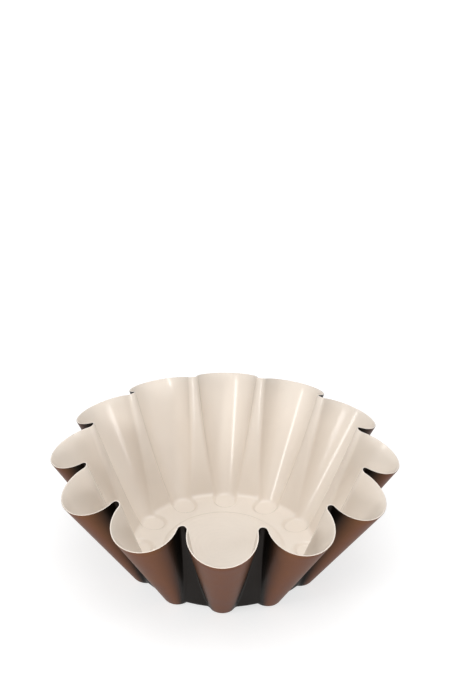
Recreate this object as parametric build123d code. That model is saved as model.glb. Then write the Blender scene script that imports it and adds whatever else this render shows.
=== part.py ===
"""A fluted brioche mould, 220 mm across, pressed from one steel sheet and coated on both sides.

The valleys of the wall lie on one shallow cone. Twelve flutes stand out of it, each a part of a cone of its
own whose axis leans outwards, so that it widens upwards, and the corners between them are rounded. The rim
lies on one more cone that falls outwards, so it stands higher in the valleys than at the tips of the flutes.
Below, every flute ends in a foot that is dished out of the floor, and the middle of the floor is a raised
round panel.

The origin is on the mould's axis, in the plane that the feet stand on. +Z is up, and one flute points to -Y.
Lengths are in millimetres and angles in degrees. All sizes are those of the outermost surface.
"""

import os
from math import atan2, cos, degrees, radians, sin, sqrt, tan

from build123d import *

# The wall
FLUTE_COUNT = 12
RIM_REACH = 110.0
RIM_TIP_HEIGHT = 71.0
RIM_VALLEY_REACH = 88.0
RIM_VALLEY_HEIGHT = 81.8
BASE_REACH = 63.4
BASE_VALLEY_REACH = 60.0
BASE_FLUTE_RADIUS = 9.6
FLUTE_HALF_ANGLE = 7.8
VALLEY_FILLET = 2.4

# The floor, its feet and its raised panel
FLOOR_HEIGHT = 2.0
LOWER_FILLET = 4.0
FOOT_CENTRE_REACH = 55.1
FOOT_RADIUS = 6.3
FOOT_WALL_ANGLE = 40.0
PANEL_RADIUS = 39.5
PANEL_RISE = 1.2
PANEL_WALL_ANGLE = 35.0
PANEL_FILLET = 1.5

# The sheet and its coats
LACQUER_THICKNESS = 0.15
STEEL_THICKNESS = 0.5
LINING_THICKNESS = 0.15

# How far the untrimmed wall runs on past the rim
OVERRUN = 6.0

# How deep each surface lies below the outermost one
LACQUER_OUTSIDE = 0.0
STEEL_OUTSIDE = LACQUER_THICKNESS
STEEL_INSIDE = STEEL_OUTSIDE + STEEL_THICKNESS
LINING_INSIDE = STEEL_INSIDE + LINING_THICKNESS

# How far the crowns, the axes of the flutes and the valleys lean from upright
CROWN_LEAN = degrees(atan2(RIM_REACH - BASE_REACH, RIM_TIP_HEIGHT))
FLUTE_LEAN = CROWN_LEAN - FLUTE_HALF_ANGLE
VALLEY_LEAN = degrees(atan2(RIM_VALLEY_REACH - BASE_VALLEY_REACH, RIM_VALLEY_HEIGHT))

TOP = RIM_VALLEY_HEIGHT + OVERRUN
FIRST_FLUTE_ANGLE = -90.0
SECTOR = 360 / FLUTE_COUNT
HALF_SECTOR = SECTOR / 2
FLUTE_ANGLES = [FIRST_FLUTE_ANGLE + number * SECTOR for number in range(FLUTE_COUNT)]
STANDING = (Align.CENTER, Align.CENTER, Align.MIN)


def valley_reach(height, depth):
    """How far the valleys lie from the axis at a height."""
    return BASE_VALLEY_REACH + height * tan(radians(VALLEY_LEAN)) - depth / cos(radians(VALLEY_LEAN))


def flute_cone(depth):
    """The whole cone of the flute along +X, from its apex far below the foot plane to past the rim."""
    below = BASE_FLUTE_RADIUS / sin(radians(FLUTE_HALF_ANGLE))
    slant = below + (TOP + OVERRUN) / cos(radians(CROWN_LEAN))
    cone = Cone(0, slant * sin(radians(FLUTE_HALF_ANGLE)), slant * cos(radians(FLUTE_HALF_ANGLE)), align=STANDING)

    # Each surface further in is the same cone with its apex further along its axis
    apex = (BASE_REACH - below * sin(radians(CROWN_LEAN)), 0, -below * cos(radians(CROWN_LEAN)))
    shift = (0, 0, depth / sin(radians(FLUTE_HALF_ANGLE)))
    return Location(apex, (0, FLUTE_LEAN, 0)) * Location(shift, (0, 0, 180)) * cone


def flute(depth):
    """The flute along +X with the foot below it, which reaches in over the floor."""
    flute = split(flute_cone(depth), Plane.XY.offset(depth), Keep.TOP)
    flute = split(flute, Plane.XY.offset(TOP), Keep.BOTTOM)
    flute = fillet(flute.edges().group_by(Axis.Z)[0], LOWER_FILLET - depth)

    low = FOOT_RADIUS - depth * tan(radians(FOOT_WALL_ANGLE / 2))
    high = low + FLOOR_HEIGHT / tan(radians(FOOT_WALL_ANGLE))
    foot = Cone(low, high, FLOOR_HEIGHT, align=STANDING)
    foot = fillet(foot.edges().group_by(Axis.Z)[0], LOWER_FILLET - depth)
    return flute + Location((FOOT_CENTRE_REACH, 0, depth)) * foot


def panel(depth):
    """The space under the raised panel of the floor."""
    low = PANEL_RADIUS + depth * tan(radians(PANEL_WALL_ANGLE / 2))
    high = low - PANEL_RISE / tan(radians(PANEL_WALL_ANGLE))
    space = Cone(low, high, PANEL_RISE, align=STANDING)
    space = fillet(space.edges().group_by(Axis.Z)[-1], PANEL_FILLET + depth)
    return Location((0, 0, FLOOR_HEIGHT + depth)) * space


def plug(depth):
    """Everything within the mould's surface at a depth round one flute, left untrimmed above the rim."""
    floor = FLOOR_HEIGHT + depth
    core = Cone(valley_reach(floor, depth), valley_reach(TOP, depth), TOP - floor, align=STANDING)
    core = fillet(core.edges().group_by(Axis.Z)[0], LOWER_FILLET - depth)
    whole = Location((0, 0, floor)) * core + flute(depth)

    corners = [edge for edge in whole.edges() if edge.bounding_box().size.Z > TOP / 2]
    return fillet(corners, VALLEY_FILLET + depth) - panel(depth)


def under_rim(depth):
    """The space under the cone that the rim lies on, for what ends that deep below the rim."""
    slope = (RIM_VALLEY_HEIGHT - RIM_TIP_HEIGHT) / (RIM_REACH - RIM_VALLEY_REACH)
    apex = RIM_TIP_HEIGHT + slope * RIM_REACH - depth * sqrt(1 + slope**2)
    reach = RIM_REACH + OVERRUN
    section = Polygon((0, -OVERRUN), (reach, -OVERRUN), (reach, apex - slope * reach), (0, apex), align=None)
    return revolve(Plane.XZ * section, Axis.Z)


def sector():
    """The wedge of space round the flute along +X, from the middle of one valley to the middle of the next."""
    length = RIM_REACH + OVERRUN
    half_width = length * tan(radians(HALF_SECTOR))
    return extrude(Polygon((0, 0), (length, -half_width), (length, half_width), align=None), TOP + OVERRUN)


def all_round(piece):
    """A piece of one sector, repeated for every flute and joined."""
    first, *others = [Rotation(0, 0, angle) * piece for angle in FLUTE_ANGLES]
    return first + others


def build():
    """The mould's pieces by name, from the outside in."""
    lacquer_outside, steel_outside = plug(LACQUER_OUTSIDE), plug(STEEL_OUTSIDE)
    steel_inside, lining_inside = plug(STEEL_INSIDE), plug(LINING_INSIDE)

    # The lining is folded over the cut edge of the steel
    within = sector() & under_rim(0)
    lacquer = (lacquer_outside & within) - steel_outside
    steel = (steel_outside & within & under_rim(LINING_THICKNESS)) - steel_inside
    lining = (steel_outside & within) - lining_inside - steel
    return {
        "outer_lacquer": all_round(lacquer),
        "steel_shell": all_round(steel),
        "inner_coating": all_round(lining),
    }


if __name__ == "__main__":
    os.makedirs("parts", exist_ok=True)
    for name, piece in build().items():
        export_step(piece, f"parts/{name}.step")
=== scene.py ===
"""A fluted brioche mould, dressed for its portrait: bronze lacquer outside, ivory non-stick coat inside.

The whole mould is one surface, known as a signed distance from its outermost skin. A skin that lies
deeper is the same surface a little further in, so the sheet and its two coats keep their thickness all
over. Lengths are worked out in millimetres and written into the meshes in metres.
"""

import logging
import math
from dataclasses import dataclass
from enum import Enum

import bpy
import numpy as np
from mathutils import Matrix


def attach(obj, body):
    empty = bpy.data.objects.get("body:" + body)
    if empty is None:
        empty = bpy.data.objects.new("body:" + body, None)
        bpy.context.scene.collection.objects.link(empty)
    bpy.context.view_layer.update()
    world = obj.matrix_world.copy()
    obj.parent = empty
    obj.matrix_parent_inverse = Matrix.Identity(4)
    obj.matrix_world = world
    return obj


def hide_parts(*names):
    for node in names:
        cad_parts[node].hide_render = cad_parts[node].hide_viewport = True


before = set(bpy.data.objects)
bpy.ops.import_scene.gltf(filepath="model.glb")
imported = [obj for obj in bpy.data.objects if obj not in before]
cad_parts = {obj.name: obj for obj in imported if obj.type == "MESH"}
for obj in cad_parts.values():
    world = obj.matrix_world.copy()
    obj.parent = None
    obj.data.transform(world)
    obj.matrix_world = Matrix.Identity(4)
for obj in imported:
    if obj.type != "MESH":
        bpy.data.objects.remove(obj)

log = logging.getLogger("brioche_mould")

MILLIMETRE = 0.001
IMAGE_SIZE = (450, 675)

# Nearly all of a noise's values lie within this range
NOISE_RANGE = (0.3, 0.7)

# Keep a division finite where a length is nothing, or where two surfaces lie nearly alike
LEAST_LENGTH = 1e-9
LEAST_SINE_SQUARED = 0.01

Array = np.ndarray


class Coat(Enum):
    """The three layers of the pressed wall, from the outside in, by the CAD node that each stands for."""

    LACQUER = "outer_lacquer"
    SHEET = "steel_shell"
    LINING = "inner_coating"


def ramp(value: Array, start: float, end: float) -> Array:
    """Rises smoothly from 0 at start to 1 at end.

    Args:
        value: Where to work it out.
        start: The value at which it leaves 0.
        end: The value at which it reaches 1.

    Returns:
        t squared times (3 minus 2t), where t is the share of the way from start to end, kept from 0 to 1.
    """
    share = np.clip((value - start) / (end - start), 0.0, 1.0)
    return share * share * (3.0 - 2.0 * share)


def round_edge(first: Array, second: Array, cosine: Array | float, radius: float) -> Array:
    """The distance outside a solid where two of its surfaces meet in a round edge.

    A ball of the radius rolls along inside both surfaces. The way from its centre to a point is a sum of
    both normals, and where both shares are positive the distance is the length of that way less the
    radius: sqrt((a^2 + b^2 - 2ab cos) / (1 - cos^2)) - radius, where a and b are the two distances plus
    the radius.

    Args:
        first: Distances outside the first surface.
        second: Distances outside the second surface.
        cosine: The cosine of the angle between the two normals.
        radius: The ball's radius.

    Returns:
        Distances, negative inside.
    """
    a, b = first + radius, second + radius
    on_ball = (a > b * cosine) & (b > a * cosine)
    sine_squared = np.maximum(1.0 - cosine**2, LEAST_SINE_SQUARED)
    length = np.sqrt(np.maximum(a**2 + b**2 - 2.0 * a * b * cosine, 0.0) / sine_squared)
    return np.where(on_ball, length - radius, np.maximum(first, second))


@dataclass(frozen=True)
class MouldForm:
    """The shape of the mould's outermost skin, in millimetres, with +Z up and a flute along -Y.

    The valleys lie on a cone about the mould's axis. Each flute is a cone about an axis of its own that
    leans outwards, and a round fillet fills each corner between the two. Below, the wall rounds into the
    floor, which is dished under every flute and raised in the middle.

    Attributes:
        flutes: How many flutes there are.
        rim_reach: How far from the axis the rim lies at a flute's tip.
        rim_tip_height: The rim's height there.
        rim_valley_reach: How far from the axis the rim lies in a valley.
        rim_valley_height: The rim's height there.
        base_reach: How far the flutes' crowns would reach in the foot plane.
        base_valley_reach: How far the valleys would reach in the foot plane.
        base_flute_radius: A flute's radius, square to its axis, where its crown would meet the foot plane.
        flute_half_angle: Half the angle of a flute's cone, in degrees.
        valley_fillet: Radius of the corners between flutes and valleys.
        floor_height: How high the floor lies between the feet.
        lower_round: Radius of the round edge between wall and floor.
        foot_reaches: The ends of the short line that a foot's dish is drawn round.
        foot_radius: How far from that line the middle of the dish's wall lies.
        foot_ramp: How wide the dish's wall is.
        panel_radius: Radius of the raised panel at the middle of its step.
        panel_ramp: How wide that step is.
        panel_rise: How far the panel stands above the floor.
        wall_foot: The height of the wall's lowest row of points.
    """

    flutes: int = 12
    rim_reach: float = 110.0
    rim_tip_height: float = 71.0
    rim_valley_reach: float = 88.0
    rim_valley_height: float = 81.8
    base_reach: float = 63.4
    base_valley_reach: float = 60.0
    base_flute_radius: float = 9.6
    flute_half_angle: float = 7.8
    valley_fillet: float = 2.4
    floor_height: float = 2.0
    lower_round: float = 4.0
    foot_reaches: tuple[float, float] = (54.2, 60.0)
    foot_radius: float = 7.8
    foot_ramp: float = 3.2
    panel_radius: float = 38.7
    panel_ramp: float = 2.8
    panel_rise: float = 1.2
    wall_foot: float = 6.6

    @property
    def crown_lean(self) -> float:
        """How far the flutes' crowns lean outwards from upright, in radians."""
        return math.atan2(self.rim_reach - self.base_reach, self.rim_tip_height)

    @property
    def flute_lean(self) -> float:
        """How far the flutes' axes lean outwards from upright, in radians."""
        return self.crown_lean - math.radians(self.flute_half_angle)

    @property
    def valley_lean(self) -> float:
        """How far the valleys lean outwards from upright, in radians."""
        return math.atan2(self.rim_valley_reach - self.base_valley_reach, self.rim_valley_height)

    @property
    def apex_slant(self) -> float:
        """How far along its crown a flute's apex lies below the foot plane."""
        return self.base_flute_radius / math.sin(math.radians(self.flute_half_angle))

    def flute_half_width(self, height: Array) -> Array:
        """Half the width of a flute's level section, an ellipse that grows in a line with height.

        For a crown that leans by c, it is s sin(h) / sqrt(cos(c) cos(c - 2h)), where s is the height above
        the apex and h is half the cone's angle.

        Args:
            height: Heights in millimetres.

        Returns:
            Half widths in millimetres.
        """
        half, crown = math.radians(self.flute_half_angle), self.crown_lean
        above_apex = height + self.apex_slant * math.cos(crown)
        return above_apex * math.sin(half) / math.sqrt(math.cos(crown) * math.cos(crown - 2.0 * half))

    def flute_centre(self, height: Array) -> Array:
        """How far out a circle as wide as the flute is centred, if it touches the flute's crown."""
        return self.base_reach + height * math.tan(self.crown_lean) - self.flute_half_width(height)

    def valley_reach(self, height: Array) -> Array:
        """How far the valleys lie from the axis, growing in a line with height."""
        return self.base_valley_reach + height * math.tan(self.valley_lean)

    def fillet_centre(self, height: Array) -> tuple[Array, Array]:
        """About where a valley's fillet is centred beside a flute that points along +X.

        It lies a fillet radius outside both the valley circle and the flute's circle, which the law of
        cosines turns into an angle at the axis.

        Args:
            height: Heights in millimetres.

        Returns:
            Its x and y, on the +Y side of the flute.
        """
        far = self.valley_reach(height) + self.valley_fillet
        near = self.flute_half_width(height) + self.valley_fillet
        centre = self.flute_centre(height)
        cosine = (far**2 + centre**2 - near**2) / (2.0 * far * centre)
        sine = np.sqrt(np.clip(1.0 - cosine**2, 0.0, None))
        return far * cosine, far * sine

    def fold(self, x: Array, y: Array) -> tuple[Array, Array]:
        """Turns points round the axis into half of one sector, with the nearest flute along +X.

        Args:
            x: Distances along X.
            y: Distances along Y.

        Returns:
            Each point's x and y in that half sector, where y isn't negative.
        """
        sector = 2.0 * math.pi / self.flutes
        angle = np.arctan2(y, x) + math.pi / 2.0
        folded = np.abs(angle - sector * np.round(angle / sector))
        reach = np.hypot(x, y)
        return reach * np.cos(folded), reach * np.sin(folded)

    def wall_distance(self, x: Array, y: Array, z: Array) -> Array:
        """The distance outside the leaning wall.

        Outside a cone it is r cos(h) - s sin(h), where s and r are a point's place along the cone's axis
        from its apex and its distance from that axis, and h is half the cone's angle. The corner between a
        flute and the valleys is the round edge of the space outside them.

        Args:
            x: Folded x.
            y: Folded y.
            z: Heights.

        Returns:
            Distances, negative inside.
        """
        half, lean, valley_lean = math.radians(self.flute_half_angle), self.flute_lean, self.valley_lean
        run = x - self.base_reach + self.apex_slant * math.sin(self.crown_lean)
        rise = z + self.apex_slant * math.cos(self.crown_lean)
        along = run * math.sin(lean) + rise * math.cos(lean)
        out = run * math.cos(lean) - rise * math.sin(lean)
        across = np.maximum(np.hypot(out, y), LEAST_LENGTH)
        to_flute = across * math.cos(half) - along * math.sin(half)

        reach = np.maximum(np.hypot(x, y), LEAST_LENGTH)
        to_valley = (reach - self.valley_reach(z)) * math.cos(valley_lean)

        flute_x = out / across * math.cos(half) * math.cos(lean) - math.sin(half) * math.sin(lean)
        flute_y = y / across * math.cos(half)
        flute_z = -out / across * math.cos(half) * math.sin(lean) - math.sin(half) * math.cos(lean)
        level = (flute_x * x + flute_y * y) / reach
        cosine = level * math.cos(valley_lean) - flute_z * math.sin(valley_lean)
        return -round_edge(-to_flute, -to_valley, cosine, self.valley_fillet)

    def floor_height_at(self, x: Array, y: Array) -> Array:
        """The height of the floor: level between the feet, dished at each foot and raised in the middle.

        A foot's dish is a ramp of the distance to a short line along its flute, and the panel is a ramp of
        the distance to the axis.

        Args:
            x: Folded x.
            y: Folded y.

        Returns:
            Heights in millimetres.
        """
        low, high = self.foot_reaches
        to_foot = np.hypot(x - np.clip(x, low, high), y)
        half = self.foot_ramp / 2.0
        land = self.floor_height * ramp(to_foot, self.foot_radius - half, self.foot_radius + half)
        half = self.panel_ramp / 2.0
        past_panel = ramp(np.hypot(x, y), self.panel_radius - half, self.panel_radius + half)
        return land + self.panel_rise * (1.0 - past_panel)

    def distance(self, points: Array) -> Array:
        """The signed distance outside the mould's outermost skin, taken as a solid up to past the rim.

        The wall and the floor meet in a round edge. The cosine between their normals is how fast the
        wall's distance falls with height, because the floor is nearly level. The height above the floor is
        divided by the length of the floor's normal, sqrt(1 + a^2 + b^2) for slopes a and b.

        Args:
            points: N by 3 positions in millimetres.

        Returns:
            N distances, negative inside.
        """
        x, y = self.fold(points[:, 0], points[:, 1])
        z = points[:, 2]
        step = 0.05
        cosine = (self.wall_distance(x, y, z - step) - self.wall_distance(x, y, z + step)) / (2.0 * step)
        rise = (self.floor_height_at(x + step, y) - self.floor_height_at(x - step, y)) / (2.0 * step)
        side = (self.floor_height_at(x, y + step) - self.floor_height_at(x, y - step)) / (2.0 * step)
        floor = (self.floor_height_at(x, y) - z) / np.sqrt(1.0 + rise**2 + side**2)
        return round_edge(self.wall_distance(x, y, z), floor, cosine, self.lower_round)

    def rim_height(self, points: Array) -> Array:
        """The height of the cone that the rim lies on, which falls in a line with the distance to the axis.

        Args:
            points: N positions, of which only x and y count.

        Returns:
            N heights.
        """
        slope = (self.rim_valley_height - self.rim_tip_height) / (self.rim_reach - self.rim_valley_reach)
        return self.rim_tip_height + slope * (self.rim_reach - np.hypot(points[:, 0], points[:, 1]))

    def gradient(self, points: Array) -> Array:
        """How the signed distance changes along X, Y and Z, by central differences.

        Args:
            points: N by 3 positions in millimetres.

        Returns:
            N by 3 slopes.
        """
        step = 0.02
        change = [self.distance(points + move) - self.distance(points - move) for move in np.eye(3) * step]
        return np.stack(change, axis=1) / (2 * step)

    def settle(self, points: Array, depth: float, rounds: int = 4) -> Array:
        """Moves points onto the skin at a depth, along the way in which the distance changes fastest.

        Args:
            points: N by 3 positions near the skin.
            depth: How deep the skin lies below the outermost one.
            rounds: How often the move is repeated.

        Returns:
            The moved points.
        """
        least_slope, longest_move = 0.05, 1.5
        for _ in range(rounds):
            slope = self.gradient(points)
            miss = self.distance(points) + depth
            move = slope * (miss / np.maximum((slope**2).sum(axis=1), least_slope))[:, None]
            length = np.linalg.norm(move, axis=1, keepdims=True)
            points = points - move * np.minimum(1.0, longest_move / np.maximum(length, LEAST_LENGTH))
        return points


@dataclass(frozen=True)
class SkinGrid:
    """A grid of points over the mould's skin: columns run down the wall to the middle of the floor.

    Attributes:
        form: The shape that the grid lies on.
        crown_steps: Columns over half of one flute's round part.
        fillet_steps: Columns over one fillet.
        valley_steps: Columns over half of one valley's bottom.
        wall_rows: Rows from the rim to just above the floor.
        edge_insets: How far in from the wall the close rows over the round edge lie.
        floor_insets: Where the even rows over the floor start, and what they stay short of.
        floor_step: How far apart the even rows lie.
        follow_insets: Between which insets the rows turn from the wall's shape into circles.
        panel_reaches: Radii of the rows over the panel.
    """

    form: MouldForm
    crown_steps: int = 16
    fillet_steps: int = 7
    valley_steps: int = 1
    wall_rows: int = 14
    edge_insets: tuple[float, ...] = (0.12, 0.28, 0.5, 0.8, 1.2, 1.7, 2.3, 3.0, 3.8)
    floor_insets: tuple[float, float] = (4.7, 28.0)
    floor_step: float = 0.95
    follow_insets: tuple[float, float] = (6.0, 24.0)
    panel_reaches: tuple[float, ...] = (35.0, 32.0, 28.0, 24.0, 20.0, 16.0, 12.0, 8.0, 4.0, 1.0)

    def half_section(self, height: Array) -> Array:
        """Half of the wall's section beside one flute, from its crown to the middle of the valley.

        It is the flute's arc up to the direction of the fillet's centre, the fillet's arc back to the
        direction of the axis, and the valley circle's arc on to half of a sector.

        Args:
            height: One height for each row.

        Returns:
            Rows by columns by 2 positions beside a flute along +X.
        """
        form = self.form
        height = height[:, None]
        fx, fy = form.fillet_centre(height)
        centre, radius = form.flute_centre(height), form.flute_half_width(height)
        turn = np.arctan2(fy, fx - centre)
        share = np.linspace(0.0, 1.0, self.crown_steps + 1)[None, :]
        crown = np.stack([centre + radius * np.cos(turn * share), radius * np.sin(turn * share)], axis=2)

        start, end = turn + math.pi, np.arctan2(fy, fx) + math.pi
        share = np.linspace(0.0, 1.0, self.fillet_steps + 1)[None, 1:]
        angle = start + (end - start) * share
        fillet = np.stack(
            [fx + form.valley_fillet * np.cos(angle), fy + form.valley_fillet * np.sin(angle)], axis=2
        )

        start, end = np.arctan2(fy, fx), math.pi / form.flutes
        share = np.linspace(0.0, 1.0, self.valley_steps + 1)[None, 1:]
        angle = start + (end - start) * share
        reach = form.valley_reach(height)
        valley = np.stack([reach * np.cos(angle), reach * np.sin(angle)], axis=2)
        return np.concatenate([crown, fillet, valley], axis=1)

    def wall(self) -> Array:
        """The rows of the wall, from the rim cone down to just above the floor, evenly spaced in height.

        A column's top is found by turns: the rim cone's height at its place, then its place at that height.

        Returns:
            Rows by columns by 3 positions in millimetres.
        """
        form, turns = self.form, 12
        columns = 2 * form.flutes * (self.crown_steps + self.fillet_steps + self.valley_steps)
        top = np.full(columns, form.rim_valley_height)
        for _ in range(turns):
            top = form.rim_height(self.section_at(top))
        share = np.linspace(1.0, 0.0, self.wall_rows)[:, None]
        heights = form.wall_foot + (top - form.wall_foot) * share
        return np.stack([np.column_stack([self.section_at(row), row]) for row in heights])

    def section_at(self, heights: Array) -> Array:
        """The positions of all columns, each at a height of its own.

        Args:
            heights: One height for each column.

        Returns:
            Columns by 2 positions.
        """
        half_count = self.crown_steps + self.fillet_steps + self.valley_steps
        per_flute = 2 * half_count
        column = np.arange(len(heights)) % per_flute - (half_count - 1)
        section = self.half_section(heights)[np.arange(len(heights)), np.abs(column)]
        x, y = section[:, 0], section[:, 1] * np.sign(column)
        turn = -math.pi / 2.0 + (np.arange(len(heights)) // per_flute) * 2.0 * math.pi / self.form.flutes
        return np.column_stack([x * np.cos(turn) - y * np.sin(turn), x * np.sin(turn) + y * np.cos(turn)])

    def floor(self, ring: Array) -> Array:
        """The rows inside the wall's lowest ring, closing on a small circle round the axis.

        Each column runs straight in towards the axis. Near the wall its rows follow the ring's own shape,
        with close steps over the round edge, and further in they turn into circles. Each point's height is
        found by halving, again and again, the range of heights in which the skin passes it.

        Args:
            ring: Columns by 3 positions of the wall's lowest row.

        Returns:
            Rows by columns by 3 positions, still to be settled onto the skin.
        """
        reach = np.hypot(ring[:, 0], ring[:, 1])
        inset = np.concatenate([self.edge_insets, np.arange(*self.floor_insets, self.floor_step)])
        follow = 1.0 - ramp(inset, *self.follow_insets)
        by_wall = (reach - reach.mean()) * follow[:, None] + reach.mean() - inset[:, None]
        over_panel = np.repeat(np.array(self.panel_reaches)[:, None], len(reach), axis=1)
        rows = np.concatenate([by_wall, over_panel])
        places = ((ring[:, :2] / reach[:, None]) * rows[:, :, None]).reshape(-1, 2)

        margin, halvings = 1.0, 30
        low, high = np.full(len(places), -margin), np.full(len(places), self.form.wall_foot + margin)
        for _ in range(halvings):
            middle = (low + high) / 2.0
            outside = self.form.distance(np.column_stack([places, middle])) > 0.0
            low, high = np.where(outside, middle, low), np.where(outside, high, middle)
        return np.column_stack([places, (low + high) / 2.0]).reshape(*rows.shape, 3)

    def skin(self, depth: float) -> Array:
        """The whole grid on the skin at a depth, from the rim cone to the middle of the floor.

        The wall settles on the outermost skin first, so that the floor starts from where the wall ends.

        Args:
            depth: How deep the skin lies below the outermost one.

        Returns:
            Rows by columns by 3 positions in millimetres.
        """
        wall = self.wall()
        wall = self.form.settle(wall.reshape(-1, 3), 0.0).reshape(wall.shape)
        grid = np.concatenate([wall, self.floor(wall[-1])])
        return self.form.settle(grid.reshape(-1, 3), depth).reshape(grid.shape)

    def rim_row(self, depth: float, lowered: float) -> Array:
        """A row of points on the skin at a depth, a little below the rim cone.

        It is moved onto the skin and then to its height, by turns, until it lies on both.

        Args:
            depth: How deep the skin lies below the outermost one.
            lowered: How far below the rim cone the row lies.

        Returns:
            Columns by 3 positions in millimetres.
        """
        row, turns = self.wall()[0], 5
        for _ in range(turns):
            row = self.form.settle(row, depth, rounds=2)
            row[:, 2] = self.form.rim_height(row) - lowered
        return row


def to_linear(hex_colour: str) -> tuple[float, float, float, float]:
    """Turns an sRGB hex colour into Blender's linear colour.

    Args:
        hex_colour: Six hex digits after a hash.

    Returns:
        Linear red, green and blue, and an alpha of 1.
    """
    parts = [int(hex_colour[i : i + 2], 16) / 255.0 for i in (1, 3, 5)]
    red, green, blue = [p / 12.92 if p <= 0.04045 else ((p + 0.055) / 1.055) ** 2.4 for p in parts]
    return red, green, blue, 1.0


def add_node(
    tree: bpy.types.NodeTree,
    kind: str,
    settings: dict[str, object] | None = None,
    inputs: dict[str | int, object] | None = None,
) -> bpy.types.Node:
    """Adds a node, sets it and links what feeds it.

    Args:
        tree: The tree that gets the node.
        kind: The node's type name, less the ShaderNode that it starts with.
        settings: Values of the node's own properties.
        inputs: For each input, a value or the output socket that feeds it.

    Returns:
        The new node.
    """
    node = tree.nodes.new(f"ShaderNode{kind}")
    for name, value in (settings or {}).items():
        setattr(node, name, value)
    for name, value in (inputs or {}).items():
        if isinstance(value, bpy.types.NodeSocket):
            tree.links.new(value, node.inputs[name])
        else:
            node.inputs[name].default_value = value
    return node


def new_material(name: str) -> tuple[bpy.types.Material, bpy.types.NodeTree, bpy.types.Node]:
    """Makes an empty node material.

    Args:
        name: The material's name.

    Returns:
        The material, its tree and its output node.
    """
    material = bpy.data.materials.new(name)
    material.use_nodes = True
    tree = material.node_tree
    tree.nodes.clear()
    return material, tree, add_node(tree, "OutputMaterial")


def reach_and_height(
    tree: bpy.types.NodeTree, place: bpy.types.NodeSocket
) -> tuple[bpy.types.NodeSocket, bpy.types.NodeSocket]:
    """Adds nodes that give a point's distance to the mould's axis, and its height.

    Args:
        tree: The tree that gets the nodes.
        place: The socket that holds the point.

    Returns:
        The sockets of the distance and the height, in metres.
    """
    parts = add_node(tree, "SeparateXYZ", inputs={0: place}).outputs
    flat = add_node(tree, "CombineXYZ", inputs={0: parts["X"], 1: parts["Y"]}).outputs["Vector"]
    reach = add_node(tree, "VectorMath", {"operation": "LENGTH"}, {0: flat})
    return reach.outputs["Value"], parts["Z"]


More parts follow.
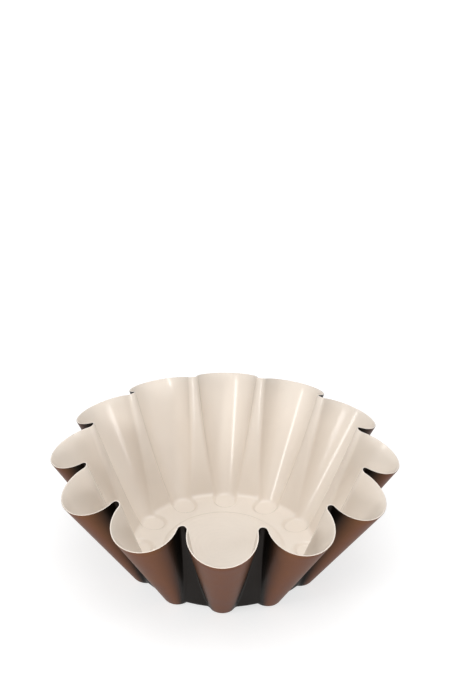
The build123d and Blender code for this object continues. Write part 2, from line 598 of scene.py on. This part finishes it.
@dataclass(frozen=True)
class BronzeLacquer:
    """Stoved metallic lacquer, as sprayed on the outside of bakeware: brown, with a fine flake.

    The flake makes it half metallic, with a soft sheen that mirrors no sharp shapes. Its colour is darkened
    to nearly black towards the valleys between the flutes: painted shade, for the shade between them.

    Attributes:
        form: The mould's shape, which says how far the valleys and the crowns reach.
        light: Colour where the flake lies thick.
        dark: Colour where the flake lies sparse.
        edge: Tint of what it mirrors at a low angle.
        painted_shade: Painted shade, a nearly black colour laid in the valleys between the flutes.
        painted_shade_shares: Shares of the way from valley to crown at which the painted shade is full and
            where it ends.
        flake_mm: Size of the flake, drawn coarser than the real one, which is too fine to show.
        mottle_mm: Size of the slow unevenness that spraying leaves.
        flake_share: How much of the colour's change is flake, and the rest mottle.
        flake_depth_mm: How deep the flake could mark the surface.
        flake_strength: The share of that depth that it does.
        metallic: How metallic it is.
        roughness: Its least and greatest roughness, from one mottle to the next.
        specular: Its plain gloss.
        coat: How much of a clear top it has.
        coat_roughness: The clear top's roughness.
    """

    form: MouldForm
    light: str = "#8A5F40"
    dark: str = "#70482F"
    edge: str = "#8A6A54"
    # Painted shade: nearly black, laid in the valleys between the flutes
    painted_shade: str = "#17120D"
    painted_shade_shares: tuple[float, float] = (0.2, 0.9)
    flake_mm: float = 0.9
    mottle_mm: float = 14.0
    flake_share: float = 0.35
    flake_depth_mm: float = 0.02
    flake_strength: float = 0.25
    metallic: float = 0.5
    roughness: tuple[float, float] = (0.34, 0.42)
    specular: float = 0.3
    coat: float = 0.06
    coat_roughness: float = 0.18

    def painted_shade_fade(self, tree: bpy.types.NodeTree, place: bpy.types.NodeSocket) -> bpy.types.NodeSocket:
        """Adds nodes that give 0 where the shade is painted fully and 1 where none is painted.

        It follows the share of the way from the valleys to the flutes' crowns: the distance to the axis less
        the valleys', over the crowns' less the valleys'. Both of those grow in a line with height.

        Args:
            tree: The tree that gets the nodes.
            place: The socket that holds the point.

        Returns:
            The socket that holds it.
        """
        form = self.form
        reach, height = reach_and_height(tree, place)
        valley_slope = math.tan(form.valley_lean)
        extra_slope = math.tan(form.crown_lean) - valley_slope
        multiply_add = {"operation": "MULTIPLY_ADD"}
        base = form.base_valley_reach * MILLIMETRE
        valley = add_node(tree, "Math", multiply_add, {0: height, 1: valley_slope, 2: base})
        base = (form.base_reach - form.base_valley_reach) * MILLIMETRE
        span = add_node(tree, "Math", multiply_add, {0: height, 1: extra_slope, 2: base})
        proud = add_node(tree, "Math", {"operation": "SUBTRACT"}, {0: reach, 1: valley.outputs[0]})
        share = add_node(
            tree, "Math", {"operation": "DIVIDE"}, {0: proud.outputs[0], 1: span.outputs[0]}
        )
        # The painted shade is full below the first share and gone above the second
        start, end = self.painted_shade_shares
        unshaded = add_node(
            tree,
            "MapRange",
            {"interpolation_type": "SMOOTHSTEP"},
            {"Value": share.outputs[0], "From Min": start, "From Max": end},
        )
        return unshaded.outputs["Result"]

    def build(self) -> bpy.types.Material:
        """Builds the lacquer from two noises, the flake and the mottle, and painted shade between the
        flutes.
        """
        material, tree, output = new_material("bronze_stoved_lacquer")
        place = add_node(tree, "TexCoord").outputs["Object"]
        flake = add_node(
            tree,
            "TexNoise",
            inputs={"Vector": place, "Scale": 1.0 / (self.flake_mm * MILLIMETRE)},
        )
        mottle = add_node(
            tree,
            "TexNoise",
            inputs={"Vector": place, "Scale": 1.0 / (self.mottle_mm * MILLIMETRE), "Detail": 3.0},
        )
        share = add_node(
            tree,
            "Mix",
            {"data_type": "FLOAT"},
            {0: self.flake_share, 2: mottle.outputs["Fac"], 3: flake.outputs["Fac"]},
        )
        colour = add_node(
            tree,
            "Mix",
            {"data_type": "RGBA"},
            {0: share.outputs[0], 6: to_linear(self.dark), 7: to_linear(self.light)},
        )
        # Painted shade: the colour darkens to nearly black from the crowns towards the valleys
        shaded_colour = add_node(
            tree,
            "Mix",
            {"data_type": "RGBA"},
            {0: self.painted_shade_fade(tree, place), 6: to_linear(self.painted_shade), 7: colour.outputs[2]},
        )
        low, high = NOISE_RANGE
        smooth, rough = self.roughness
        roughness = add_node(
            tree,
            "MapRange",
            inputs={
                "Value": mottle.outputs["Fac"],
                "From Min": low,
                "From Max": high,
                "To Min": smooth,
                "To Max": rough,
            },
        )
        bump = add_node(
            tree,
            "Bump",
            inputs={
                "Strength": self.flake_strength,
                "Distance": self.flake_depth_mm * MILLIMETRE,
                "Height": flake.outputs["Fac"],
            },
        )
        shader = add_node(
            tree,
            "BsdfPrincipled",
            inputs={
                "Base Color": shaded_colour.outputs[2],
                "Metallic": self.metallic,
                "Roughness": roughness.outputs["Result"],
                "Specular IOR Level": self.specular,
                "Specular Tint": to_linear(self.edge),
                "Coat Weight": self.coat,
                "Coat Roughness": self.coat_roughness,
                "Normal": bump.outputs["Normal"],
            },
        )
        tree.links.new(shader.outputs["BSDF"], output.inputs["Surface"])
        return material


@dataclass(frozen=True)
class IvoryNonStick:
    """Non-stick coat, sprayed and baked on the inside: smooth ivory, half glossy, with a trace of spray.

    Attributes:
        light: Colour of the lightest clouds.
        dark: Colour of the darkest clouds.
        cloud_mm: Size of the slow clouds of colour.
        spray_mm: Size of the spray's grain.
        spray_depth_mm: How deep the spray's grain could be.
        spray_strength: The share of that depth that it is.
        ring_mm: How far apart the rings lie that pressing leaves on the floor panel.
        ring_depth_mm: How deep the rings are.
        ring_reach_mm: Where the rings end.
        ring_fade_mm: Over what width they fade out there.
        roughness: How blurred its gloss is.
        ior: How strong its gloss is.
    """

    light: str = "#E8DFD4"
    dark: str = "#DFD4C8"
    cloud_mm: float = 30.0
    spray_mm: float = 1.6
    spray_depth_mm: float = 0.015
    spray_strength: float = 0.3
    ring_mm: float = 3.4
    ring_depth_mm: float = 0.03
    ring_reach_mm: float = 38.0
    ring_fade_mm: float = 4.0
    roughness: float = 0.22
    ior: float = 1.45

    def rings(self, tree: bpy.types.NodeTree, place: bpy.types.NodeSocket) -> bpy.types.NodeSocket:
        """Adds the faint rings on the floor panel: a sine of the distance to the axis, which fades out.

        Args:
            tree: The tree that gets the nodes.
            place: The socket that holds the point.

        Returns:
            The socket that holds the rings' height.
        """
        reach, _ = reach_and_height(tree, place)
        multiply = {"operation": "MULTIPLY"}
        pace = 2.0 * math.pi / (self.ring_mm * MILLIMETRE)
        angle = add_node(tree, "Math", multiply, {0: reach, 1: pace})
        wave = add_node(tree, "Math", {"operation": "SINE"}, {0: angle.outputs[0]})
        within = add_node(
            tree,
            "MapRange",
            inputs={
                "Value": reach,
                "From Min": self.ring_reach_mm * MILLIMETRE,
                "From Max": (self.ring_reach_mm - self.ring_fade_mm) * MILLIMETRE,
            },
        )
        factors = {0: wave.outputs[0], 1: within.outputs["Result"]}
        return add_node(tree, "Math", multiply, factors).outputs[0]

    def build(self) -> bpy.types.Material:
        """Builds the coat from slow clouds of colour, the spray's grain and the panel's rings."""
        material, tree, output = new_material("ivory_non_stick_coat")
        place = add_node(tree, "TexCoord").outputs["Object"]
        cloud = add_node(
            tree,
            "TexNoise",
            inputs={"Vector": place, "Scale": 1.0 / (self.cloud_mm * MILLIMETRE)},
        )
        spray = add_node(
            tree,
            "TexNoise",
            inputs={"Vector": place, "Scale": 1.0 / (self.spray_mm * MILLIMETRE)},
        )
        colour = add_node(
            tree,
            "Mix",
            {"data_type": "RGBA"},
            {0: cloud.outputs["Fac"], 6: to_linear(self.dark), 7: to_linear(self.light)},
        )
        ring_bump = add_node(
            tree,
            "Bump",
            inputs={
                "Strength": 1.0,
                "Distance": self.ring_depth_mm * MILLIMETRE,
                "Height": self.rings(tree, place),
            },
        )
        bump = add_node(
            tree,
            "Bump",
            inputs={
                "Strength": self.spray_strength,
                "Distance": self.spray_depth_mm * MILLIMETRE,
                "Height": spray.outputs["Fac"],
                "Normal": ring_bump.outputs["Normal"],
            },
        )
        shader = add_node(
            tree,
            "BsdfPrincipled",
            inputs={
                "Base Color": colour.outputs[2],
                "Roughness": self.roughness,
                "IOR": self.ior,
                "Normal": bump.outputs["Normal"],
            },
        )
        tree.links.new(shader.outputs["BSDF"], output.inputs["Surface"])
        return material


@dataclass(frozen=True)
class ColdRolledSheet:
    """Cold rolled steel sheet: a grey metal, with fine rolling lines that run one way.

    Attributes:
        light: Colour between the lines.
        dark: Colour of the lines.
        line_mm: How far apart the lines lie, drawn coarser than real ones, which are too fine to show.
        stretch: How much a line is drawn out along X.
        roughness: How blurred its gloss is.
    """

    light: str = "#B9B8B5"
    dark: str = "#9C9B98"
    line_mm: float = 0.5
    stretch: float = 0.03
    roughness: float = 0.38

    def build(self) -> bpy.types.Material:
        """Builds the sheet from one noise that is drawn out along X into rolling lines."""
        material, tree, output = new_material("cold_rolled_sheet_steel")
        place = add_node(tree, "TexCoord").outputs["Object"]
        scale = (self.stretch, 1.0, 1.0)
        drawn = add_node(tree, "Mapping", inputs={"Vector": place, "Scale": scale})
        lines = add_node(
            tree,
            "TexNoise",
            inputs={"Vector": drawn.outputs[0], "Scale": 1.0 / (self.line_mm * MILLIMETRE)},
        )
        colour = add_node(
            tree,
            "Mix",
            {"data_type": "RGBA"},
            {0: lines.outputs["Fac"], 6: to_linear(self.dark), 7: to_linear(self.light)},
        )
        shader = add_node(
            tree,
            "BsdfPrincipled",
            inputs={"Base Color": colour.outputs[2], "Metallic": 1.0, "Roughness": self.roughness},
        )
        tree.links.new(shader.outputs["BSDF"], output.inputs["Surface"])
        return material


def seen_directly(tree: bpy.types.NodeTree) -> bpy.types.NodeSocket:
    """Adds nodes that give 1 to camera, glossy and transmission rays and 0 to the rest.

    Args:
        tree: The tree that gets the nodes.

    Returns:
        The output socket that holds it.
    """
    path = add_node(tree, "LightPath").outputs
    greater = {"operation": "MAXIMUM"}
    either = add_node(tree, "Math", greater, {0: path["Is Camera Ray"], 1: path["Is Glossy Ray"]})
    rays = {0: either.outputs[0], 1: path["Is Transmission Ray"]}
    return add_node(tree, "Math", greater, rays).outputs[0]


@dataclass(frozen=True)
class StudioWhite:
    """A matt paper floor that runs on into a white background.

    It is lifted to white where the camera or a reflection sees it, and keeps the mould's soft shadow.

    Attributes:
        colour: The paper's colour.
        near_lift: How much it is lifted close to the mould.
        far_lift: How much it is lifted far away, where the lamps hardly reach.
        near_reach: Up to where the lift is the near one, in metres.
        far_reach: From where it is the far one, in metres.
    """

    colour: str = "#B4B4B4"
    near_lift: float = 0.68
    far_lift: float = 0.9
    near_reach: float = 0.2
    far_reach: float = 1.0

    def build(self) -> bpy.types.Material:
        """Builds the floor: plain diffuse paper, and a lift that grows with the distance to the mould."""
        material, tree, output = new_material("white_paper_floor")
        diffuse = add_node(tree, "BsdfDiffuse", inputs={"Color": to_linear(self.colour)})
        place = add_node(tree, "TexCoord").outputs["Object"]
        reach = add_node(tree, "VectorMath", {"operation": "LENGTH"}, {0: place})
        lift = add_node(
            tree,
            "MapRange",
            inputs={
                "Value": reach.outputs["Value"],
                "From Min": self.near_reach,
                "From Max": self.far_reach,
                "To Min": self.near_lift,
                "To Max": self.far_lift,
            },
        )
        factors = {0: seen_directly(tree), 1: lift.outputs["Result"]}
        strength = add_node(tree, "Math", {"operation": "MULTIPLY"}, factors)
        glow = add_node(tree, "Emission", inputs={"Strength": strength.outputs[0]})
        both = add_node(tree, "AddShader", inputs={0: diffuse.outputs[0], 1: glow.outputs[0]})
        tree.links.new(both.outputs[0], output.inputs["Surface"])
        return material


def add_mesh(name: str, points: Array, faces: Array, material: bpy.types.Material) -> bpy.types.Object:
    """Makes a smooth mesh object from whole arrays.

    Args:
        name: The object's name.
        points: N by 3 positions in millimetres.
        faces: M by 4 vertex numbers. A triangle repeats its third as its fourth.
        material: The finish.

    Returns:
        The new object, with its place in its mesh.
    """
    corners = np.where(faces[:, 3] == faces[:, 2], 3, 4)
    keep = np.ones(faces.shape, bool)
    keep[corners == 3, 3] = False
    mesh = bpy.data.meshes.new(name)
    mesh.vertices.add(len(points))
    mesh.vertices.foreach_set("co", (points * MILLIMETRE).astype(np.float32).ravel())
    mesh.loops.add(int(corners.sum()))
    mesh.loops.foreach_set("vertex_index", faces[keep].astype(np.int32))
    mesh.polygons.add(len(faces))
    starts = np.concatenate([[0], np.cumsum(corners)[:-1]])
    mesh.polygons.foreach_set("loop_start", starts.astype(np.int32))
    mesh.polygons.foreach_set("use_smooth", np.ones(len(faces), bool))
    mesh.update(calc_edges=True)
    mesh.validate()
    mesh.materials.append(material)
    piece = bpy.data.objects.new(name, mesh)
    bpy.context.scene.collection.objects.link(piece)
    return piece


def ring_faces(rows: int, columns: int) -> Array:
    """Four-sided faces between the rows of a grid whose columns close round the axis.

    Args:
        rows: How many rows there are.
        columns: How many columns there are.

    Returns:
        Faces of vertex numbers, row by row.
    """
    upper = np.arange(rows - 1)[:, None] * columns
    lower = upper + columns
    here = np.arange(columns)
    there = (here + 1) % columns
    return np.stack([upper + here, upper + there, lower + there, lower + here], axis=2).reshape(-1, 4)


@dataclass(frozen=True)
class Layer:
    """One of the wall's layers, which lies between two skins.

    Attributes:
        coat: Which layer it is.
        slot: A material slot's name. It is not used.
        finish: Its finish.
        grid: The grid that both skins share.
        depths: The depths of its outer and its inner skin.
        rim: Depth and drop of each row across its edge at the rim, from the outer skin to the inner one.
    """

    coat: Coat
    slot: str
    finish: BronzeLacquer | ColdRolledSheet | IvoryNonStick
    grid: SkinGrid
    depths: tuple[float, float]
    rim: list[tuple[float, float]]

    def shell(self) -> tuple[Array, Array]:
        """The layer as a closed shell.

        Its rows run from the middle of the outer skin up to the rim, across the edge and down to the middle
        of the inner skin, and a pole on the axis closes either end.

        Returns:
            Points and faces. The faces point out of the shell.
        """
        # The rows across the edge take the place of each skin's top row
        outside, inside = [self.grid.skin(depth)[1:] for depth in self.depths]
        edge = np.stack([self.grid.rim_row(depth, drop) for depth, drop in self.rim])
        rows = np.concatenate([outside[::-1], edge, inside])
        count, columns = rows.shape[:2]
        points = rows.reshape(-1, 3)

        poles = np.array([points[:columns].mean(axis=0), points[-columns:].mean(axis=0)])
        poles[:, :2] = 0.0
        below, above = np.full(columns, len(points)), np.full(columns, len(points) + 1)
        here = np.arange(columns)
        there = (here + 1) % columns
        last = (count - 1) * columns
        under = np.stack([below, there, here, here], axis=1)
        over = np.stack([above, here + last, there + last, there + last], axis=1)
        faces = np.concatenate([ring_faces(count, columns), under, over])
        return np.concatenate([points, poles]), faces

    def build(self) -> None:
        """Makes the layer's piece, dresses it and puts it in the CAD node's place."""
        points, faces = self.shell()
        piece = add_mesh(f"{self.coat.value}_skin", points, faces, self.finish.build())
        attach(piece, "root")
        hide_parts(self.coat.value)
        log.info("%s: %d points, %d faces", piece.name, len(points), len(faces))


@dataclass(frozen=True)
class PressedWall:
    """The mould's wall: one pressed sheet with a coat on either side.

    The inner coat is folded over the sheet's cut edge.

    Attributes:
        form: The shape of the outermost skin.
        lacquer: Thickness of the outer coat.
        sheet: Thickness of the steel.
        lining: Thickness of the inner coat.
        rim_round: Radius that softens both corners of the rim.
        outer_depths: Depths of the rows over the rim's outer corner, within the outer coat.
        fold_depths: Depths of the rows over the fold, above the sheet.
        inner_depths: Depths of the rows over the rim's inner corner, within the inner coat.
    """

    form: MouldForm
    lacquer: float = 0.15
    sheet: float = 0.5
    lining: float = 0.15
    rim_round: float = 0.3
    outer_depths: tuple[float, ...] = (0.0, 0.03, 0.08)
    fold_depths: tuple[float, ...] = (0.22, 0.3, 0.5, 0.58)
    inner_depths: tuple[float, ...] = (0.72, 0.77)

    def rim_drop(self, depth: float) -> float:
        """How far the softened rim lies below the rim cone at a depth.

        Near either face it is the radius less the height of a circle of that radius.

        Args:
            depth: Depth below the outermost skin.

        Returns:
            The drop in millimetres.
        """
        thickness = self.lacquer + self.sheet + self.lining
        short = max(self.rim_round - depth, depth - (thickness - self.rim_round), 0.0)
        return self.rim_round - math.sqrt(max(self.rim_round**2 - short**2, 0.0))

    def build(self) -> None:
        """Builds the three layers, of which the hidden sheet needs fewer points."""
        fine = SkinGrid(self.form)
        plain = SkinGrid(self.form, crown_steps=12, fillet_steps=4, wall_rows=8)
        outer = self.lacquer
        inner = outer + self.sheet
        innermost = inner + self.lining
        depths = (*self.outer_depths, outer)
        lacquer_rim = [(depth, self.rim_drop(depth)) for depth in depths]
        sheet_rim = [(outer, self.lining), (inner, self.lining)]
        depths = (outer, *self.fold_depths, inner, *self.inner_depths, innermost)
        lining_rim = sheet_rim[::-1] + [(depth, self.rim_drop(depth)) for depth in depths]
        lacquer, sheet, lining = BronzeLacquer(self.form), ColdRolledSheet(), IvoryNonStick()
        for layer in (
            Layer(Coat.LACQUER, "bronze_lacquer", lacquer, fine, (0.0, outer), lacquer_rim),
            Layer(Coat.SHEET, "sheet_steel", sheet, plain, (outer, inner), sheet_rim),
            Layer(Coat.LINING, "ivory_coating", lining, fine, (inner, innermost), lining_rim),
        ):
            layer.build()


@dataclass(frozen=True)
class Softbox:
    """A rectangular studio light aimed at the mould.

    Attributes:
        name: The light's name.
        place: Where it stands, in metres.
        size: Its width and height in metres.
        power: Its power in watts.
        aim: The point that it faces, in metres.
    """

    name: str
    place: tuple[float, float, float]
    size: tuple[float, float]
    power: float
    aim: tuple[float, float, float] = (0.0, 0.0, 0.04)

    def build(self) -> None:
        """Adds the light and turns it to its aim."""
        light = bpy.data.lights.new(self.name, "AREA")
        light.shape = "RECTANGLE"
        light.size, light.size_y = self.size
        light.energy = self.power
        lamp = bpy.data.objects.new(self.name, light)
        lamp.location = self.place
        x, y, z = np.array(self.place) - np.array(self.aim)
        lamp.rotation_euler = (math.atan2(math.hypot(x, y), z), 0.0, math.atan2(x, -y))
        bpy.context.scene.collection.objects.link(lamp)


@dataclass(frozen=True)
class Studio:
    """The white floor, the room's even light, the softboxes and the camera.

    Attributes:
        focal_pixels: The lens's focal length in pixels of the photograph.
        distance: From the camera to its target, in millimetres.
        pitch: How far the camera looks down, in degrees.
        roll: How far it leans, in degrees.
        turn: How far it stands to the right of the front flute, in degrees.
        target: How far right of the axis and how high it looks, in millimetres.
        clips: The nearest and the farthest that it sees, in metres.
        floor_reach: Half the floor's width in metres.
        white: The room's colour.
        seen_strength: How bright the room is where it is seen.
        room_strength: How strongly it lights the mould.
        softboxes: A wide one overhead, a low one in front, and a strip that is mirrored down the flutes.
    """

    focal_pixels: float = 1450.0
    distance: float = 871.2
    pitch: float = 28.81
    roll: float = 0.69
    turn: float = 0.58
    target: tuple[float, float] = (-0.82, 159.4)
    clips: tuple[float, float] = (0.01, 50.0)
    floor_reach: float = 3.0
    white: str = "#FFFFFF"
    seen_strength: float = 1.0
    room_strength: float = 0.36
    softboxes: tuple[Softbox, ...] = (
        Softbox("overhead_softbox", (0.1, -0.2, 1.4), (1.2, 1.2), 12.6),
        Softbox("front_softbox", (0.0, -1.2, 0.3), (0.45, 0.3), 3.6),
        Softbox("left_strip", (-0.68, -0.62, 0.55), (0.08, 0.35), 2.4),
    )

    def camera(self) -> None:
        """Places the camera that the photograph was fitted with.

        It starts looking straight down, rolls, tilts up until it looks down by the pitch, moves to its place
        and turns with it about the mould's axis.
        """
        data = bpy.data.cameras.new("portrait_camera")
        data.sensor_width = 36.0
        data.lens = self.focal_pixels * data.sensor_width / max(IMAGE_SIZE)
        data.clip_start, data.clip_end = self.clips
        pitch = math.radians(self.pitch)
        across, up = self.target
        place = np.array([across, -self.distance * math.cos(pitch), up + self.distance * math.sin(pitch)])
        turned = Matrix.Rotation(math.radians(self.turn), 4, "Z")
        moved = Matrix.Translation(place * MILLIMETRE)
        pitched = Matrix.Rotation(math.pi / 2.0 - pitch, 4, "X")
        rolled = Matrix.Rotation(math.radians(self.roll), 4, "Z")
        view = turned @ moved @ pitched @ rolled
        camera = bpy.data.objects.new("portrait_camera", data)
        camera.location = view.to_translation()
        camera.rotation_euler = view.to_euler()
        bpy.context.scene.collection.objects.link(camera)
        bpy.context.scene.camera = camera

    def floor(self) -> None:
        """Lays the white floor in the plane that the feet stand on."""
        r = self.floor_reach / MILLIMETRE
        corners = np.array([[-r, -r, 0.0], [r, -r, 0.0], [r, r, 0.0], [-r, r, 0.0]])
        add_mesh("studio_floor", corners, np.array([[0, 1, 2, 3]]), StudioWhite().build())

    def world(self) -> None:
        """Lights the room: white where it is seen, and a soft even light elsewhere."""
        world = bpy.data.worlds.new("studio_world")
        world.use_nodes = True
        tree = world.node_tree
        tree.nodes.clear()
        seen, soft = [
            add_node(
                tree, "Background", inputs={"Color": to_linear(self.white), "Strength": strength}
            )
            for strength in (self.seen_strength, self.room_strength)
        ]
        shaders = {0: seen_directly(tree), 1: soft.outputs[0], 2: seen.outputs[0]}
        mix = add_node(tree, "MixShader", inputs=shaders)
        output = add_node(tree, "OutputWorld")
        tree.links.new(mix.outputs[0], output.inputs["Surface"])
        bpy.context.scene.world = world

    def build(self) -> None:
        """Sets out the whole studio."""
        self.camera()
        self.floor()
        self.world()
        for softbox in self.softboxes:
            softbox.build()


def main() -> None:
    """Builds the mould and its studio."""
    logging.basicConfig(level=logging.INFO, format="%(name)s: %(message)s")
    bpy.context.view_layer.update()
    bpy.context.scene.view_settings.view_transform = "Standard"
    PressedWall(MouldForm()).build()
    Studio().build()
    bpy.context.view_layer.update()


if __name__ == "__main__":
    main()
